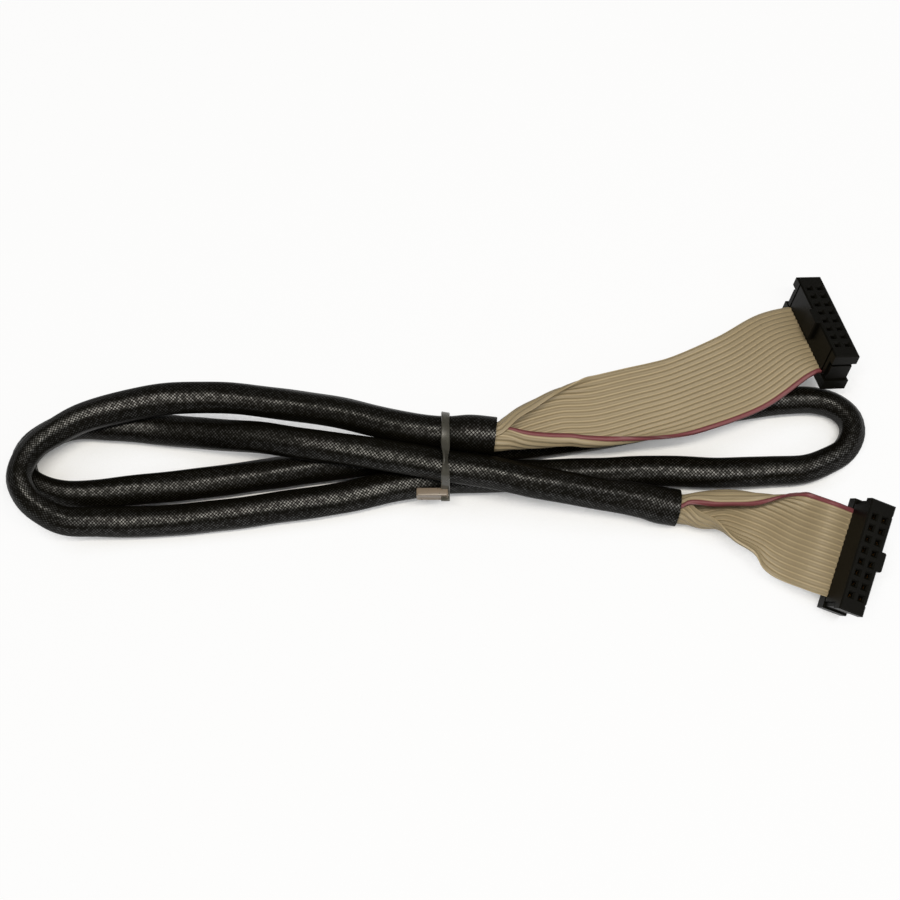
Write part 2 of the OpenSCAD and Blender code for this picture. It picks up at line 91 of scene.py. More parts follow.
# Flat ends of the ribbon: x, y, z, tilt, roll, one-sidedness and tightness of the roll
END_A = (
    (0.075, 0.0234, 0.0096, 11, 0, 0, 1), (0.065, 0.0166, 0.01, 2, 0, 0, 1),
    (0.0525, 0.0111, 0.01, 7, 7, -0.1, 2), (0.0475, 0.0094, 0.01, 5, 28, -0.4, 2.4),
    (0.0425, 0.0081, 0.01, 2, 55, -0.65, 2.8), (0.0375, 0.0068, 0.01, -2, 85, -0.75, 2.8),
    (0.033, 0.0058, 0.01, -4, 115, -0.75, 2.8), (0.029, 0.0054, 0.0101, -4, 155, -0.45, 2.7),
    (0.0255, 0.0052, 0.0102, -4, 185, -0.2, 2.6), (0.0195, 0.0035, 0.0108, -4, 195, -0.05, 1.9),
    (0.015, 0.002, 0.0114, -2, 185, -0.05, 1.3), (0.012, 0.001, 0.0119, 0, 195, -0.1, 1),
)
END_B = (
    (0.0525, -0.0137, 0.0043, 2, 195, 0.1, 1), (0.0555, -0.0142, 0.0046, 12, 188, 0, 1.2),
    (0.06, -0.0147, 0.006, 22, 185, -0.2, 1.3), (0.065, -0.0167, 0.0072, 20, 165, -0.4, 1.6),
    (0.068, -0.0178, 0.0075, 18, 140, -0.35, 1.7), (0.0705, -0.0188, 0.0077, 16, 108, -0.25, 1.8),
    (0.073, -0.0202, 0.0078, 17, 60, -0.2, 2.2), (0.0755, -0.0216, 0.008, 18, 21, -0.1, 2.6),
    (0.0805, -0.0243, 0.0097, 20, 0, 0, 1),
)
# Roll in degrees and one-sidedness of the ribbon where it enters the sleeve
MOUTH_ROLL = 215
MOUTH_SIDE = 0.12

# Sockets: x and y of the middle, then turn, bank and lean in degrees
SEAT_A = (0.0833, 0.0268, 196, 17, -19)
SEAT_B = (0.0885, -0.0267, -18.5, 13, 24.8)
SOCKET = Vector((0.0061, 0.02518, 0.0105))
COVER_H = 0.0029
LEAD_OUT = 0.0005  # flat stretch of the ribbon outside the socket

# Line of the tie's strap from its cut tail through the head and round the strands: y, z and twist
TIE_X = -0.001
STRAP_LINE = (
    (-0.0132, 0.0078, 0), (-0.0118, 0.0078, 0), (-0.0109, 0.0088, 0), (-0.0107, 0.0115, 0),
    (-0.0096, 0.0148, 14), (-0.0064, 0.0165, 68), (-0.0026, 0.0158, 4), (0.0022, 0.0163, 32),
    (0.0046, 0.0149, 14), (0.0057, 0.0115, 0), (0.0057, 0.006, 0), (0.0046, 0.0014, 0),
    (0.0015, 0.00025, 0), (-0.0025, 0.00025, 0), (-0.0065, 0.00025, 0), (-0.0095, 0.0014, 0),
    (-0.0107, 0.0044, 0), (-0.0108, 0.0078, 0),
)
# Middle and size of the tie's head
TIE_HEAD = (Vector((-0.0039, -0.0116, 0.0078)), Vector((0.007, 0.002, 0.003)))

WAYS = 16
STRIPE_FROM = WAYS - 1.02  # conductors from the plain edge to the start of the stripe
SPACING = 0.0011  # between the rings of the sleeve and of the ribbon ends
UP = Vector((0, 0, 1))
ACROSS = Vector((1, 0, 0))

# Lamps: name, place, size, watts and colour
LAMPS = (
    ("key_lamp", (0.03, -0.2, 0.9), (0.7, 0.08), 6.2, (1.0, 0.95, 0.84)),
    ("fill_lamp", (0.5, -0.3, 0.7), (0.5, 0.5), 1.4, (1.0, 1.0, 1.0)),
)
WORLD_LIGHT = 0.14
FLOOR_DROP = 0.0002
FLOOR_COLOUR = 0.9
FLOOR_WHITE = 0.9  # share of pure white that the camera sees on the open floor
SLIT_REACH = 0.016  # how far the floor looks around for what closes it in
SLIT_SHADE = (0.2, 0.5)  # open share at which the floor shows its plain shade and its full white


# Sizes and colours that a user would change

class SleeveSettings(bpy.types.PropertyGroup):
    width: FloatProperty(name="Width", description="Width of a straight strand",
                         default=0.0071, unit="LENGTH")
    height: FloatProperty(name="Height", description="Height of a strand",
                          default=0.0071, unit="LENGTH")
    bend: FloatProperty(name="Bend width", description="Width of a strand in a sharp bend",
                        default=0.0056, unit="LENGTH")
    mouth: FloatProperty(name="Mouth", description="Diameter of an open mouth",
                         default=0.0083, unit="LENGTH")
    wall: FloatProperty(name="Wall", description="Thickness of the weave",
                        default=0.00035, unit="LENGTH")
    threads: IntProperty(name="Threads", description="Threads around the sleeve each way", default=28)
    wrinkle: FloatProperty(name="Wrinkle", description="Depth of the soft folds",
                           default=0.00016, unit="LENGTH")
    colour: FloatVectorProperty(name="Thread", description="Colour of the filament", subtype="COLOR",
                                default=(0.0042, 0.0036, 0.0018))


class RibbonSettings(bpy.types.PropertyGroup):
    pitch: FloatProperty(name="Pitch", description="Distance between conductors",
                         default=0.00127, unit="LENGTH")
    core: FloatProperty(name="Core", description="Thickness over a conductor",
                        default=0.0009, unit="LENGTH")
    web: FloatProperty(name="Web", description="Thickness between conductors",
                       default=0.00036, unit="LENGTH")
    colour: FloatVectorProperty(name="Vinyl", description="Colour of the ribbon", subtype="COLOR",
                                default=(0.322, 0.258, 0.158))
    stripe: FloatVectorProperty(name="Stripe", description="Colour of the first conductor",
                                subtype="COLOR", default=(0.2, 0.05, 0.058))


class PlasticSettings(bpy.types.PropertyGroup):
    socket: FloatVectorProperty(name="Socket", description="Colour of the sockets", subtype="COLOR",
                                default=(0.0024, 0.0022, 0.0014))
    # The contacts are darker than bright plating: painted shade for the depth of the socket's holes.
    contact: FloatVectorProperty(name="Contact", description="Colour of the plated contacts",
                                 subtype="COLOR", default=(0.48, 0.36, 0.17))
    strap: FloatVectorProperty(name="Strap", description="Colour of the thin strap of the tie",
                               subtype="COLOR", default=(0.15, 0.145, 0.12))
    head: FloatVectorProperty(name="Head", description="Colour of the thick head of the tie",
                              subtype="COLOR", default=(0.36, 0.285, 0.215))
    strap_width: FloatProperty(name="Strap width", description="Width of the strap",
                               default=0.0019, unit="LENGTH")
    strap_thick: FloatProperty(name="Strap thickness", description="Thickness of the strap",
                               default=0.0005, unit="LENGTH")


class StageSettings(bpy.types.PropertyGroup):
    elevation: FloatProperty(name="Elevation", description="Angle of the camera above the horizon",
                             default=math.radians(68), subtype="ANGLE")
    distance: FloatProperty(name="Distance", description="Distance of the camera",
                            default=0.6, unit="LENGTH")
    aim: FloatVectorProperty(name="Aim", description="Point that the camera looks at",
                             default=(0, 0.002, 0), subtype="TRANSLATION", unit="LENGTH")
    lens: FloatProperty(name="Lens", description="Focal length in millimetres", default=106.8)
    floor: FloatProperty(name="Floor", description="Side of the floor", default=3.0, unit="LENGTH")


# Lines and frames

def smooth(keys, spacing):
    """Rows of numbers, the first three a point, drawn as one smooth curve with a point every spacing.

    The knots go by the root of the distance, which keeps the curve from looping between close points.
    """
    knots = [0.0]
    for a, b in zip(keys, keys[1:]):
        knots.append(knots[-1] + max(1e-6, math.dist(a[:3], b[:3])) ** 0.5)
    last = len(keys) - 1

    def slope(i):
        if i == 0 or i == last:
            a, b = (0, 1) if i == 0 else (last - 1, last)
            return [(q - p) / (knots[b] - knots[a]) for p, q in zip(keys[a], keys[b])]
        before, after = knots[i] - knots[i - 1], knots[i + 1] - knots[i]
        return [(q - p) / before - (r - p) / (before + after) + (r - q) / after
                for p, q, r in zip(keys[i - 1], keys[i], keys[i + 1])]

    slopes = [slope(i) for i in range(len(keys))]
    rows = []
    for i in range(last):
        span = knots[i + 1] - knots[i]
        steps = max(1, round(math.dist(keys[i][:3], keys[i + 1][:3]) / spacing))
        for k in range(steps):
            s = k / steps
            h = (2 * s**3 - 3 * s**2 + 1, s**3 - 2 * s**2 + s, 3 * s**2 - 2 * s**3, s**3 - s**2)
            rows.append([h[0] * p + h[1] * span * m + h[2] * q + h[3] * span * n
                         for p, m, q, n in zip(keys[i], slopes[i], keys[i + 1], slopes[i + 1])])
    rows.append(list(keys[-1]))
    return rows


def heading(points, i):
    return (points[min(i + 1, len(points) - 1)] - points[max(i - 1, 0)]).normalized()


def leftward(t):
    return UP.cross(t).normalized()


def blend(a, b, k):
    return a + (b - a) * k


def strand_size(q):
    """Width and height of the sleeve at a squeeze of q."""
    s = bpy.context.scene.cable_sleeve
    if q < 0:
        return blend(s.width, s.mouth, -q), blend(s.height, s.mouth, -q)
    return blend(s.width, s.bend, q), s.height


def strand_keys():
    """Points of the strand's middle with their squeeze, as in the part."""
    height = bpy.context.scene.cable_sleeve.height
    tie_x = ROUTE[TIED][0]
    keys = []
    for x, y, layer, q in ROUTE:
        lift = STRAP_LIFT * max(0, 1 - abs(x - tie_x) / TIE_REACH)
        keys.append((x, y, strand_size(q)[1] / 2 + layer * (height + STRAND_GAP) + lift, q))
    return keys


def turned(seat):
    turn, bank, lean = (math.radians(a) for a in seat[2:])
    return Matrix.Rotation(turn, 3, "Z") @ Matrix.Rotation(bank, 3, "X") @ Matrix.Rotation(lean, 3, "Y")


def seat_matrix(seat):
    """Rotation and place of a socket. Its lowest corner touches the ground."""
    m = turned(seat)
    low, high = -COVER_H, SOCKET.z - COVER_H
    mid = m @ Vector((0, 0, (high + low) / 2))
    corners = [m @ Vector((x * SOCKET.x / 2, y * SOCKET.y / 2, z))
               for x in (-1, 1) for y in (-1, 1) for z in (low, high)]
    return m, Vector((seat[0] - mid.x, seat[1] - mid.y, -min(c.z for c in corners)))


# Meshes

def new_piece(name, verts, faces, uvs, smooth_angle):
    """A mesh piece at the origin. uvs has a pair for each corner of each face."""
    mesh = bpy.data.meshes.new(name)
    mesh.from_pydata([tuple(v) for v in verts], [], faces)
    mesh.update()
    layer = mesh.uv_layers.new(name="weave")
    for poly, corners in zip(mesh.polygons, uvs):
        for loop, uv in zip(poly.loop_indices, corners):
            layer.data[loop].uv = uv
    obj = bpy.data.objects.new(name, mesh)
    bpy.context.scene.collection.objects.link(obj)
    bpy.ops.object.select_all(action="DESELECT")
    obj.select_set(True)
    bpy.context.view_layer.objects.active = obj
    bpy.ops.object.shade_smooth_by_angle(angle=math.radians(smooth_angle))
    obj.select_set(False)
    return obj


def skin(rings, marks, around, closed_ends=False):
    """Faces and UVs between rings of points. marks has each ring's u, and around each column's v."""
    n = len(rings[0])
    faces, uvs = [], []
    for i in range(len(rings) - 1):
        for k in range(n):
            j = (k + 1) % n
            faces.append((i * n + j, (i + 1) * n + j, (i + 1) * n + k, i * n + k))
            uvs.append(((marks[i], around[k + 1]), (marks[i + 1], around[k + 1]),
                        (marks[i + 1], around[k]), (marks[i], around[k])))
    if closed_ends:
        last = (len(rings) - 1) * n
        faces.append(tuple(range(n - 1, -1, -1)))
        faces.append(tuple(range(last, last + n)))
        uvs.append(tuple((marks[0], around[k]) for k in range(n - 1, -1, -1)))
        uvs.append(tuple((marks[-1], around[k]) for k in range(n)))
    return faces, uvs


# Nodes of materials

class NodeMaker:
    """Adds nodes to a tree and joins them, so that a material reads from top to bottom."""

    def __init__(self, tree):
        self.tree = tree

    def add(self, kind, **values):
        node = self.tree.nodes.new(kind)
        for key, value in values.items():
            setattr(node, key, value)
        return node

    def link(self, out, into):
        self.tree.links.new(out, into)

    def put(self, socket, value):
        if isinstance(value, bpy.types.NodeSocket):
            self.link(value, socket)
        else:
            socket.default_value = value

    def math(self, operation, a, b=0.0):
        node = self.add("ShaderNodeMath", operation=operation)
        for socket, value in zip(node.inputs, (a, b)):
            self.put(socket, value)
        return node.outputs[0]

    def ramp(self, value, low, high):
        """A soft step from 0 at low to 1 at high. Low may be the larger of the two."""
        node = self.add("ShaderNodeMapRange", interpolation_type="SMOOTHSTEP")
        self.put(node.inputs["Value"], value)
        node.inputs["From Min"].default_value = low
        node.inputs["From Max"].default_value = high
        return node.outputs["Result"]

    def mix(self, factor, a, b):
        node = self.add("ShaderNodeMix", data_type="RGBA")
        self.put(node.inputs[0], factor)
        self.put(node.inputs[6], a)
        self.put(node.inputs[7], b)
        return node.outputs[2]


def new_group(name, inputs, outputs):
    """A shader node group with named sockets, and the two nodes that stand for them inside."""
    group = bpy.data.node_groups.new(name, "ShaderNodeTree")
    for label, kind, value in inputs:
        socket = group.interface.new_socket(name=label, in_out="INPUT", socket_type=kind)
        if value is not None:
            socket.default_value = value
    for label, kind in outputs:
        group.interface.new_socket(name=label, in_out="OUTPUT", socket_type=kind)
    n = NodeMaker(group)
    return group, n, n.add("NodeGroupInput"), n.add("NodeGroupOutput")


def braid_group():
    """Two sets of threads that cross over and under each other on a slant."""
    group, n, source, sink = new_group(
        "Braid",
        [("Vector", "NodeSocketVector", None), ("Filaments", "NodeSocketFloat", 4.0)],
        [("Height", "NodeSocketFloat"), ("Gap", "NodeSocketFloat")])
    parts = n.add("ShaderNodeSeparateXYZ")
    n.link(source.outputs["Vector"], parts.inputs[0])
    a = n.math("ADD", parts.outputs[0], parts.outputs[1])
    b = n.math("SUBTRACT", parts.outputs[0], parts.outputs[1])
    cell = n.math("ADD", n.math("FLOOR", a), n.math("FLOOR", b))
    over = n.math("MODULO", n.math("ABSOLUTE", cell), 2.0)
    across_a = n.math("SUBTRACT", n.math("FRACT", a), 0.5)
    across_b = n.math("SUBTRACT", n.math("FRACT", b), 0.5)

    def thread(across, along):
        round_top = n.math("COSINE", n.math("MULTIPLY", across, math.pi * 0.94))
        arch = n.math("COSINE", n.math("MULTIPLY", along, math.pi))
        count = n.math("MULTIPLY", across, source.outputs["Filaments"])
        lines = n.math("SINE", n.math("MULTIPLY", count, 2 * math.pi))
        bulk = n.math("MULTIPLY", n.math("POWER", round_top, 0.6), n.math("POWER", arch, 0.5))
        return n.math("ADD", bulk, n.math("MULTIPLY", lines, 0.05))

    first = thread(across_b, across_a)
    second = thread(across_a, across_b)
    height = n.math("ADD", n.math("MULTIPLY", first, over),
                    n.math("MULTIPLY", second, n.math("SUBTRACT", 1.0, over)))
    n.link(height, sink.inputs["Height"])
    n.link(n.ramp(height, 0.55, 0.15), sink.inputs["Gap"])
    return group


def ribs_group():
    """Rounded ribs side by side, with the place across the ribbon counted in conductors."""
    group, n, source, sink = new_group(
        "Ribs",
        [("Across", "NodeSocketFloat", 0.0), ("Stripe from", "NodeSocketFloat", 15.0)],
        [("Groove", "NodeSocketFloat"), ("Stripe", "NodeSocketFloat")])
    off = n.math("ABSOLUTE", n.math("SUBTRACT", n.math("FRACT", source.outputs["Across"]), 0.5))
    n.link(n.ramp(off, 0.3, 0.5), sink.inputs["Groove"])
    past = n.math("SUBTRACT", source.outputs["Across"], source.outputs["Stripe from"])
    n.link(n.ramp(past, 0.14, 0.3), sink.inputs["Stripe"])
    return group


def grain_group():
    """Fine grain and larger soft patches in a moulded or drawn surface."""
    group, n, source, sink = new_group(
        "Grain",
        [("Vector", "NodeSocketVector", None), ("Scale", "NodeSocketFloat", 1500.0),
         ("Patch scale", "NodeSocketFloat", 120.0)],
        [("Fine", "NodeSocketFloat"), ("Patch", "NodeSocketFloat")])
    for label, key, detail in (("Fine", "Scale", 4.0), ("Patch", "Patch scale", 2.0)):
        node = n.add("ShaderNodeTexNoise")
        n.link(source.outputs["Vector"], node.inputs["Vector"])
        n.link(source.outputs[key], node.inputs["Scale"])
        node.inputs["Detail"].default_value = detail
        n.link(node.outputs["Fac"], sink.inputs[label])
    return group


def shared(name, maker):
    """The node group of that name, made the first time that it is asked for."""
    return bpy.data.node_groups.get(name) or maker()


def new_material(name):
    """A material with its Principled BSDF, and a maker for the nodes that feed it."""
    mat = bpy.data.materials.new(name)
    mat.use_nodes = True
    bsdf = mat.node_tree.nodes["Principled BSDF"]
    return mat, bsdf, NodeMaker(mat.node_tree)


def use_group(n, name, maker, **values):
    """Adds a shared group. An underscore in the name of a value stands for a space."""
    node = n.add("ShaderNodeGroup", node_tree=shared(name, maker))
    for key, value in values.items():
        n.put(node.inputs[key.replace("_", " ")], value)
    return node


def bump(n, bsdf, height, strength, distance):
    node = n.add("ShaderNodeBump")
    n.put(node.inputs["Height"], height)
    node.inputs["Strength"].default_value = strength
    node.inputs["Distance"].default_value = distance
    n.link(node.outputs["Normal"], bsdf.inputs["Normal"])


def grained(n, scale, patch_scale):
    """The grain group on the object's own coordinates."""
    place = n.add("ShaderNodeTexCoord").outputs["Object"]
    return use_group(n, "Grain", grain_group, Vector=place, Scale=scale, Patch_scale=patch_scale)


def colour_by_patch(n, bsdf, grain, one, other):
    n.link(n.mix(grain.outputs["Patch"], one, other), bsdf.inputs["Base Color"])


def grain_roughness(n, grain, least, spread):
    """Roughness that rises from least by as much as spread with the fine grain."""
    return n.math("ADD", n.math("MULTIPLY", grain.outputs["Fine"], spread), least)


def rgba(colour, gain=1.0):
    return (colour[0] * gain, colour[1] * gain, colour[2] * gain, 1.0)


def braid_material():
    s = bpy.context.scene.cable_sleeve
    mat, bsdf, n = new_material("black_braid")
    uv = n.add("ShaderNodeUVMap", uv_map="weave")
    weave = use_group(n, "Braid", braid_group, Vector=uv.outputs["UV"], Filaments=4.0)
    grain = grained(n, 1200.0, 90.0)
    thread = n.mix(grain.outputs["Patch"], rgba(s.colour, 0.5), rgba(s.colour, 1.3))
    # The gaps between the threads are painted darker than the threads: painted shade.
    n.link(n.mix(weave.outputs["Gap"], thread, rgba(s.colour, 0.4)), bsdf.inputs["Base Color"])
    dull_gap = n.math("MULTIPLY", weave.outputs["Gap"], 0.4)
    n.link(n.math("ADD", grain_roughness(n, grain, 0.2, 0.3), dull_gap), bsdf.inputs["Roughness"])
    bsdf.inputs["Specular IOR Level"].default_value = 0.08
    bump(n, bsdf, weave.outputs["Height"], strength=0.35, distance=0.00012)

    # The glints: a coat on the tops of the threads, which fades where the surface turns away
    tops = n.ramp(weave.outputs["Height"], 0.45, 0.88)
    facing = n.add("ShaderNodeLayerWeight").outputs["Facing"]
    shine = n.math("MULTIPLY", tops, n.ramp(facing, 0.6, 0.15))
    glint = n.ramp(grain.outputs["Fine"], 0.42, 0.58)
    glint = n.math("ADD", n.math("MULTIPLY", glint, 0.85), 0.15)
    n.link(n.math("MULTIPLY", shine, glint), bsdf.inputs["Coat Weight"])
    bsdf.inputs["Coat Roughness"].default_value = 0.4
    bsdf.inputs["Coat IOR"].default_value = 1.75
    return mat


def ribbon_material():
    s = bpy.context.scene.cable_ribbon
    mat, bsdf, n = new_material("ribbon_vinyl")
    uv = n.add("ShaderNodeUVMap", uv_map="weave")
    parts = n.add("ShaderNodeSeparateXYZ")
    n.link(uv.outputs["UV"], parts.inputs[0])
    ribs = use_group(n, "Ribs", ribs_group, Across=parts.outputs[1], Stripe_from=STRIPE_FROM)
    grain = grained(n, 1400.0, 70.0)
    vinyl = n.mix(grain.outputs["Patch"], rgba(s.colour, 0.9), rgba(s.colour, 1.08))
    # The grooves between the conductors are painted lighter: painted light that evens out the shade of
    # the ribs.
    vinyl = n.mix(ribs.outputs["Groove"], vinyl, rgba(s.colour, 1.38))
    # The stripe is painted darker in the grooves between conductors: painted shade.
    red = n.mix(ribs.outputs["Groove"], rgba(s.stripe), rgba(s.stripe, 0.6))
    n.link(n.mix(ribs.outputs["Stripe"], vinyl, red), bsdf.inputs["Base Color"])
    n.link(grain_roughness(n, grain, 0.38, 0.25), bsdf.inputs["Roughness"])
    bump(n, bsdf, grain.outputs["Fine"], strength=0.25, distance=0.00006)
    return mat


def plain_vinyl_material():
    """The same vinyl on the rolled stretch inside the sleeve, which has no strip of its own, painted
    darker there as painted shade.
    """
    s = bpy.context.scene.cable_ribbon
    mat, bsdf, n = new_material("rolled_vinyl")
    grain = grained(n, 1400.0, 70.0)
    colour_by_patch(n, bsdf, grain, rgba(s.colour, 0.6), rgba(s.colour, 0.8))
    bsdf.inputs["Roughness"].default_value = 0.5
    bump(n, bsdf, grain.outputs["Fine"], strength=0.25, distance=0.00006)
    return mat


def socket_material():
    s = bpy.context.scene.cable_plastic
    mat, bsdf, n = new_material("black_moulding")
    grain = grained(n, 2400.0, 260.0)
    colour_by_patch(n, bsdf, grain, rgba(s.socket), rgba(s.socket, 2.0))
    n.link(grain_roughness(n, grain, 0.3, 0.25), bsdf.inputs["Roughness"])
    bsdf.inputs["Specular IOR Level"].default_value = 0.1
    bump(n, bsdf, grain.outputs["Fine"], strength=0.35, distance=0.00005)
    return mat


def contact_material():
    s = bpy.context.scene.cable_plastic
    mat, bsdf, n = new_material("gold_plate")
    grain = grained(n, 3000.0, 500.0)
    colour_by_patch(n, bsdf, grain, rgba(s.contact, 0.8), rgba(s.contact))
    n.link(grain_roughness(n, grain, 0.18, 0.2), bsdf.inputs["Roughness"])
    bsdf.inputs["Metallic"].default_value = 1.0
    return mat


def nylon_material(name, colour, clear):
    """Nylon of which a share, clear, lets light through."""
    mat, bsdf, n = new_material(name)
    grain = grained(n, 900.0, 300.0)
    colour_by_patch(n, bsdf, grain, rgba(colour, 0.75), rgba(colour, 1.1))
    n.link(grain_roughness(n, grain, 0.22, 0.15), bsdf.inputs["Roughness"])
    bsdf.inputs["Transmission Weight"].default_value = clear
    bsdf.inputs["IOR"].default_value = 1.5
    bump(n, bsdf, grain.outputs["Fine"], strength=0.2, distance=0.00005)
    return mat


def dress(names, mat):
    """Gives CAD nodes a material in all their slots."""
    for name in names:
        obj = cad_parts[name]
        if not obj.material_slots:
            obj.data.materials.append(mat)
        for place in obj.material_slots:
            place.material = mat


# Operators

class CABLE_OT_camera(bpy.types.Operator):
    """Places the camera above and in front of the hank"""

    bl_idname = "cable.camera"
    bl_label = "Camera"

    def execute(self, context):
        s = context.scene.cable_stage
        aim = Vector(s.aim)
        back = Vector((0, -math.cos(s.elevation), math.sin(s.elevation)))
        bpy.ops.object.camera_add(location=aim + back * s.distance,
                                  rotation=(math.pi / 2 - s.elevation, 0, 0))
        camera = context.object
        camera.name = "camera"
        camera.data.lens = s.lens
        camera.data.sensor_width = 36
        camera.data.clip_start = 0.02
        context.scene.camera = camera
        return {"FINISHED"}


class CABLE_OT_sleeve(bpy.types.Operator):
    """Weaves the sleeve along its route, with an outer and an inner wall joined at both mouths"""

    bl_idname = "cable.sleeve"
    bl_label = "Woven Sleeve"

    columns = 52
    calm_length = 0.01  # from each mouth, over which the folds grow

    def fold(self, angle, run):
        """Soft folds and facets, in metres, at an angle around the strand and a length along it.

        Whole waves go around the strand, so the folds meet where a ring closes.
        """
        depth = bpy.context.scene.cable_sleeve.wrinkle
        long_waves = math.sin(3 * angle + 95 * run) * 0.45 + math.sin(2 * angle - 61 * run + 1.3) * 0.4
        facets = math.cos(8 * angle + 1.5 * math.sin(47 * run)) * 0.35
        creases = math.sin(430 * run + 2.2 * math.cos(angle + 40 * run)) * 0.22
        return depth * (long_waves + facets + creases)

    def execute(self, context):
        s = context.scene.cable_sleeve
        rows = smooth(strand_keys(), SPACING)
        path = [Vector(r[:3]) for r in rows]
        runs = [0.0]
        for a, b in zip(path, path[1:]):
            runs.append(runs[-1] + (b - a).length)
        total = runs[-1]

        def ring(i, inset):
            t = heading(path, i)
            left = leftward(t)
            up = t.cross(left)
            w, h = strand_size(rows[i][3])
            calm = min(1, runs[i] / self.calm_length, (total - runs[i]) / self.calm_length)
            points = []
            for k in range(self.columns):
                angle = 2 * math.pi * k / self.columns
                out = self.fold(angle, runs[i]) * calm - inset
                points.append(path[i] + left * (w / 2 + out) * math.cos(angle)
                              + up * (h / 2 + out) * math.sin(angle))
            return points

        # Out along the outer wall and back along the inner one. The last ring is the first one again,
        # so its points are counted from 0 again.
        inside = range(len(path) - 1, -1, -1)
        rings = [ring(i, 0) for i in range(len(path))] + [ring(i, s.wall) for i in inside]
        rings.append(rings[0])
        order = runs + [2 * total - runs[i] for i in inside] + [2 * total + s.wall]
        cell = math.pi * (s.width + s.height) / 2 / s.threads
        marks = [m / cell for m in order]
        around = [s.threads * k / self.columns for k in range(self.columns + 1)]
        verts = [p for r in rings[:-1] for p in r]
        faces, uvs = skin(rings, marks, around)
        faces = [tuple(v % len(verts) for v in face) for face in faces]
        sleeve = new_piece("woven_sleeve", verts, faces, uvs, smooth_angle=60)
        sleeve.data.materials.append(braid_material())
        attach(sleeve, "root")
        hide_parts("sleeve")
        context.scene["cable_path"] = [c for p in path for c in p]
        return {"FINISHED"}


class CABLE_OT_ribbon_ends(bpy.types.Operator):
    """Draws the two flat ends of the ribbon from the sockets into the mouths of the sleeve"""

    bl_idname = "cable.ribbon_ends"
    bl_label = "Ribbon Ends"

    rib_steps = 8

    def section(self, roll, side, tight):
        """The rolled section as pairs across and up, ribs outside and inside."""
        s = bpy.context.scene.cable_ribbon
        n = WAYS * self.rib_steps
        width = WAYS * s.pitch
        step = width / n

        def curl(at):
            u = 2 * at / width
            return math.copysign(abs(u) ** tight, u) * math.radians(roll) * (1 - side * u)

        line = [Vector((0, 0))]
        for j in range(n):
            turn = curl((j + 0.5) * step - width / 2)
            line.append(line[-1] + step * Vector((math.cos(turn), math.sin(turn))))
        middle = sum(line, Vector((0, 0))) / len(line)
        lower, upper = [], []
        for j in range(n + 1):
            off = abs((j / self.rib_steps) % 1 - 0.5) * s.pitch
            rise = max(s.web / 2, math.sqrt(max(0, (s.core / 2) ** 2 - off ** 2)))
            turn = curl(j * step - width / 2)
            normal = Vector((-math.sin(turn), math.cos(turn)))
            lower.append(line[j] - middle - normal * rise)
            upper.append(line[j] - middle + normal * rise)
        return lower + upper[::-1]

    def key(self, point, left, up, shape):
        """One row: a point, its directions across and up, then roll, one-sidedness and tightness."""
        return (*point, *left, *up, *shape)

    def free_key(self, line, i, row):
        t = heading(line, i)
        left = leftward(t)
        up = t.cross(left)
        a = math.radians(row[3])
        return self.key(line[i], left * math.cos(a) + up * math.sin(a),
                        up * math.cos(a) - left * math.sin(a), row[4:])

    def mouth_key(self, strand, i, side):
        t = heading(strand, i)
        left = leftward(t)
        return self.key(strand[i], left, t.cross(left), (MOUTH_ROLL, side, 1))

    def clamped_keys(self, seat, places):
        m, p = seat_matrix(seat)
        return [self.key(p + m @ Vector((x, 0, 0)), m @ Vector((0, 1, 0)), m @ UP, (0, 0, 1))
                for x in places]

    def build(self, name, keys, node):
        s = bpy.context.scene.cable_ribbon
        rings, marks = [], []
        run, before = 0.0, None
        for row in smooth(keys, SPACING):
            point, left, up = Vector(row[:3]), Vector(row[3:6]).normalized(), Vector(row[6:9])
            up = (up - left * up.dot(left)).normalized()
            rings.append([point + left * q[0] + up * q[1] for q in self.section(*row[9:])])
            run += (point - before).length if before is not None else 0.0
            before = point
            marks.append(run / s.pitch)
        n = WAYS * self.rib_steps
        across = [j / self.rib_steps for j in range(n + 1)]
        around = across + across[::-1] + [0.0]
        faces, uvs = skin(rings, marks, around, closed_ends=True)
        piece = new_piece(name, [p for r in rings for p in r], faces, uvs, smooth_angle=50)
        piece.data.materials.append(bpy.data.materials.get("ribbon_vinyl") or ribbon_material())
        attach(piece, "root")
        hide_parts(node)

    def execute(self, context):
        strand = [Vector(k[:3]) for k in strand_keys()]
        half = SOCKET.x / 2
        m, p = seat_matrix(SEAT_A)
        line = [p + m @ Vector((half, 0, 0))] + [Vector(r[:3]) for r in END_A] + [strand[0]]
        keys = self.clamped_keys(SEAT_A, (-half, 0, half, half + LEAD_OUT))
        keys += [self.free_key(line, i + 1, row) for i, row in enumerate(END_A)]
        keys += [self.mouth_key(strand, i, -MOUTH_SIDE) for i in (0, 1)]
        self.build("ribbon_end_a", keys, "ribbon_a")
        m, p = seat_matrix(SEAT_B)
        line = [strand[-1]] + [Vector(r[:3]) for r in END_B] + [p + m @ Vector((-half, 0, 0))]
        keys = [self.mouth_key(strand, i, MOUTH_SIDE) for i in (len(strand) - 2, len(strand) - 1)]
        keys += [self.free_key(line, i + 1, row) for i, row in enumerate(END_B)]
        keys += self.clamped_keys(SEAT_B, (-half - LEAD_OUT, -half, 0, half))
        self.build("ribbon_end_b", keys, "ribbon_b")
        dress(["ribbon_roll"], plain_vinyl_material())
        return {"FINISHED"}


class CABLE_OT_sockets(bpy.types.Operator):
    """Gives the housings, covers and contacts of both sockets their finishes"""

    bl_idname = "cable.sockets"
    bl_label = "Sockets"

    def execute(self, context):
        dress(["housing_a", "cover_a", "housing_b", "cover_b"], socket_material())
        contacts = [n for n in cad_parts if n.startswith("contact_")]
        dress(contacts, contact_material())
        return {"FINISHED"}


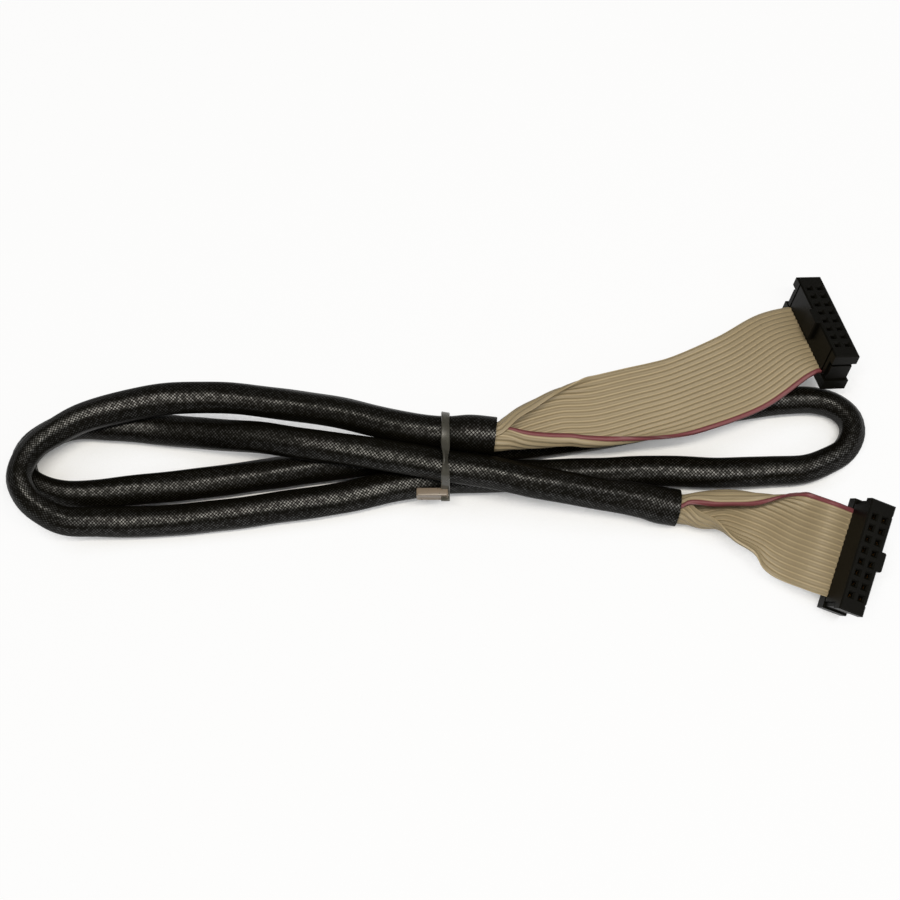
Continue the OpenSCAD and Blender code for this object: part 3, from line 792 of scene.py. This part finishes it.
class CABLE_OT_tie(bpy.types.Operator):
    """Pulls the thin twisted strap round the strands and sets its head on the front"""

    bl_idname = "cable.tie"
    bl_label = "Tie"

    spacing = 0.0004  # between the rings of the strap
    edge = 0.00014  # cut off the corners of the strap's section
    rim = 0.0006  # around the recess in the front of the head
    recess = 0.0003
    soft_edge = 0.00035

    def finish(self, piece, mat):
        piece.data.materials.append(mat)
        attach(piece, "root")
        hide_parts("cable_tie")

    def strap(self, s):
        w, t, edge = s.strap_width / 2, s.strap_thick / 2, self.edge
        outline = [(w, t - edge), (w - edge, t), (0, t), (edge - w, t), (-w, t - edge),
                   (-w, edge - t), (edge - w, -t), (0, -t), (w - edge, -t), (w, edge - t)]
        rows = smooth([(TIE_X, *row) for row in STRAP_LINE], self.spacing)
        line = [Vector(row[:3]) for row in rows]
        rings = []
        for i, row in enumerate(rows):
            ahead = heading(line, i)
            wide = Matrix.Rotation(math.radians(row[3]), 3, ahead) @ ACROSS
            thick = ahead.cross(wide)
            rings.append([line[i] + wide * a + thick * b for a, b in outline])
        marks, around = list(range(len(rings))), list(range(len(outline) + 1))
        faces, uvs = skin(rings, marks, around, closed_ends=True)
        return new_piece("tie_strap", [p for r in rings for p in r], faces, uvs, smooth_angle=30)

    def head(self):
        place, size = TIE_HEAD
        bpy.ops.object.select_all(action="DESELECT")
        bpy.ops.mesh.primitive_cube_add(size=1, location=place)
        head = bpy.context.object
        head.name = "tie_head"
        head.scale = size
        bpy.ops.object.transform_apply(location=True, rotation=True, scale=True)
        bpy.ops.object.mode_set(mode="EDIT")
        bpy.ops.mesh.select_all(action="DESELECT")
        bpy.ops.mesh.select_mode(type="FACE")
        shape = bmesh.from_edit_mesh(head.data)
        for face in shape.faces:
            face.select_set(face.normal.y < -0.9)
        bmesh.update_edit_mesh(head.data)
        bpy.ops.mesh.inset(thickness=self.rim)
        bpy.ops.transform.translate(value=(0, self.recess, 0))
        bpy.ops.object.mode_set(mode="OBJECT")
        bevel = head.modifiers.new("Soft edges", "BEVEL")
        bevel.width = self.soft_edge
        bevel.segments = 3
        bpy.ops.object.modifier_apply(modifier=bevel.name)
        bpy.ops.object.shade_smooth_by_angle(angle=math.radians(40))
        return head

    def execute(self, context):
        s = context.scene.cable_plastic
        self.finish(self.strap(s), nylon_material("clear_nylon", s.strap, clear=0.6))
        self.finish(self.head(), nylon_material("milky_nylon", s.head, clear=0.35))
        return {"FINISHED"}


class CABLE_OT_declare(bpy.types.Operator):
    """Holds the cable's length, and does nothing when it runs"""

    bl_idname = "cable.declare"
    bl_label = "Cable Facts"

    length = 0.656

    def execute(self, context):
        return {"FINISHED"}


class CABLE_OT_stage(bpy.types.Operator):
    """Lays a white floor and hangs two lamps over it"""

    bl_idname = "cable.stage"
    bl_label = "Stage"

    def lamp(self, name, place, size, watts, colour):
        bpy.ops.object.light_add(type="AREA", location=place)
        lamp = bpy.context.object
        lamp.name = name
        lamp.data.shape = "RECTANGLE"
        lamp.data.size, lamp.data.size_y = size
        lamp.data.energy = watts
        lamp.data.color = colour
        lamp.rotation_euler = (-Vector(place)).to_track_quat("-Z", "Y").to_euler()

    def white_when_seen(self, n, plain, white, output):
        """White to the camera and in reflections where the floor lies open, and plain elsewhere."""
        path = n.add("ShaderNodeLightPath")
        seen = n.math("MAXIMUM", path.outputs["Is Camera Ray"], path.outputs["Is Glossy Ray"])
        seen = n.math("MAXIMUM", seen, path.outputs["Is Transmission Ray"])
        mixer = n.add("ShaderNodeMixShader")
        shade = n.add("ShaderNodeAmbientOcclusion", samples=4)
        shade.inputs["Distance"].default_value = SLIT_REACH
        open_floor = n.ramp(shade.outputs["AO"], *SLIT_SHADE)
        n.link(n.math("MULTIPLY", n.math("MULTIPLY", seen, FLOOR_WHITE), open_floor), mixer.inputs[0])
        n.link(plain, mixer.inputs[1])
        n.link(white, mixer.inputs[2])
        n.link(mixer.outputs[0], output)

    def execute(self, context):
        scene = context.scene
        s = scene.cable_stage
        bpy.ops.object.select_all(action="DESELECT")
        bpy.ops.mesh.primitive_plane_add(size=s.floor, location=(0, 0, -FLOOR_DROP))
        bpy.ops.object.transform_apply(location=True, rotation=True, scale=True)
        floor = context.object
        floor.name = "floor"
        mat, bsdf, n = new_material("white_floor")
        bsdf.inputs["Base Color"].default_value = (FLOOR_COLOUR, FLOOR_COLOUR, FLOOR_COLOUR, 1)
        bsdf.inputs["Roughness"].default_value = 0.9
        glow = n.add("ShaderNodeEmission")
        glow.inputs["Strength"].default_value = 1.0
        output = mat.node_tree.nodes["Material Output"].inputs["Surface"]
        self.white_when_seen(n, bsdf.outputs[0], glow.outputs[0], output)
        floor.data.materials.append(mat)

        world = scene.world or bpy.data.worlds.new("studio")
        scene.world = world
        world.use_nodes = True
        background = world.node_tree.nodes["Background"]
        background.inputs["Color"].default_value = (1, 1, 1, 1)
        background.inputs["Strength"].default_value = WORLD_LIGHT

        for lamp in LAMPS:
            self.lamp(*lamp)
        scene.view_settings.view_transform = "Standard"
        return {"FINISHED"}


STEPS = (
    CABLE_OT_camera, CABLE_OT_sleeve, CABLE_OT_ribbon_ends, CABLE_OT_declare,
    CABLE_OT_sockets, CABLE_OT_tie, CABLE_OT_stage,
)
SETTINGS = {
    "cable_sleeve": SleeveSettings,
    "cable_ribbon": RibbonSettings,
    "cable_plastic": PlasticSettings,
    "cable_stage": StageSettings,
}


class CABLE_PT_panel(bpy.types.Panel):
    """Lists the pieces of the cable and their sizes"""

    bl_idname = "CABLE_PT_panel"
    bl_label = "Ribbon Cable"
    bl_space_type = "VIEW_3D"
    bl_region_type = "UI"
    bl_category = "Cable"

    def draw(self, context):
        for step in STEPS:
            self.layout.operator(step.bl_idname)
        for name, group in SETTINGS.items():
            box = self.layout.box()
            for key in group.__annotations__:
                box.prop(getattr(context.scene, name), key)


def register():
    for group in SETTINGS.values():
        bpy.utils.register_class(group)
    for name, group in SETTINGS.items():
        setattr(bpy.types.Scene, name, PointerProperty(type=group))
    for step in STEPS:
        bpy.utils.register_class(step)
    bpy.utils.register_class(CABLE_PT_panel)


def unregister():
    bpy.utils.unregister_class(CABLE_PT_panel)
    for step in reversed(STEPS):
        bpy.utils.unregister_class(step)
    for name in SETTINGS:
        delattr(bpy.types.Scene, name)
    for group in reversed(SETTINGS.values()):
        bpy.utils.unregister_class(group)


def main():
    register()
    bpy.ops.cable.camera()
    bpy.ops.cable.sleeve()
    bpy.ops.cable.ribbon_ends()
    bpy.ops.cable.declare()
    bpy.ops.cable.sockets()
    bpy.ops.cable.tie()
    bpy.ops.cable.stage()


if __name__ == "__main__":
    main()
